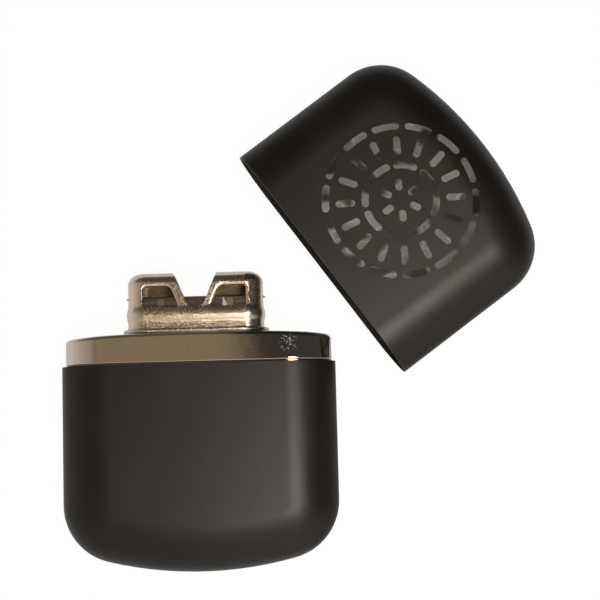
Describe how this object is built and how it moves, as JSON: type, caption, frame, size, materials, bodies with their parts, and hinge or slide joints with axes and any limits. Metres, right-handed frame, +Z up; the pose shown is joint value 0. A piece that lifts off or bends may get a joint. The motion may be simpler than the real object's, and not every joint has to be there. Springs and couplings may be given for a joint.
{
  "type": "catalytic hand warmer",
  "caption": "Flat catalytic pocket hand warmer: rounded black fuel tank with a chromed collar and a push-on burner head, and its vented black cap pulled off and laid beside it.",
  "frame": {"origin": "on the tank's flat back, on the surface that it lies on, half-way along the tank shell on its centre line", "axes": "+Z up out of the front of the tank, +Y along the tank from its closed end to the burner head, +X to the right seen from the front"},
  "size_m": [0.1188, 0.1257, 0.017],
  "materials": {
    "black_enamel": "warm near-black baked enamel, dead matt with a fine grain",
    "chrome_plate": "bright chrome, slightly uneven from drawing",
    "plated_brass": "thin nickel plate over brass, satin",
    "satin_nickel": "warm satin nickel, finely pitted",
    "burnt_nickel": "nickel dulled and browned by heat",
    "plain_steel": "plain rolled steel",
    "wire_gauze": "fine woven steel wire",
    "catalyst_fibre": "grey glass fibre mat",
    "wick_felt": "dense off-white felt",
    "cotton": "loose white cotton"
  },
  "bodies": {
    "tank": {"tank_shell": "black_enamel", "tank_top": "chrome_plate", "filler_neck": "plated_brass", "mouth_plate": "plain_steel", "wick_felt": "wick_felt", "cotton_wadding": "cotton"},
    "burner": {"burner_shroud": "satin_nickel", "burner_base": "plated_brass", "spring_clip_front": "plain_steel", "spring_clip_back": "plain_steel", "support_gauze": "wire_gauze", "catalyst_mat": "catalyst_fibre", "catalyst_cage": "burnt_nickel"},
    "cap": {"cap_shell": "black_enamel"}
  },
  "joints": [
    {"name": "burner_pull", "type": "slide", "parent": "tank", "child": "burner", "axis": [0, 1, 0], "range_m": [0, 0.012]},
    {"name": "cap_pull", "type": "slide", "parent": "tank", "child": "cap", "axis": [0.81, 0.5864, 0], "range_m": [0, 0.022]}
  ]
}
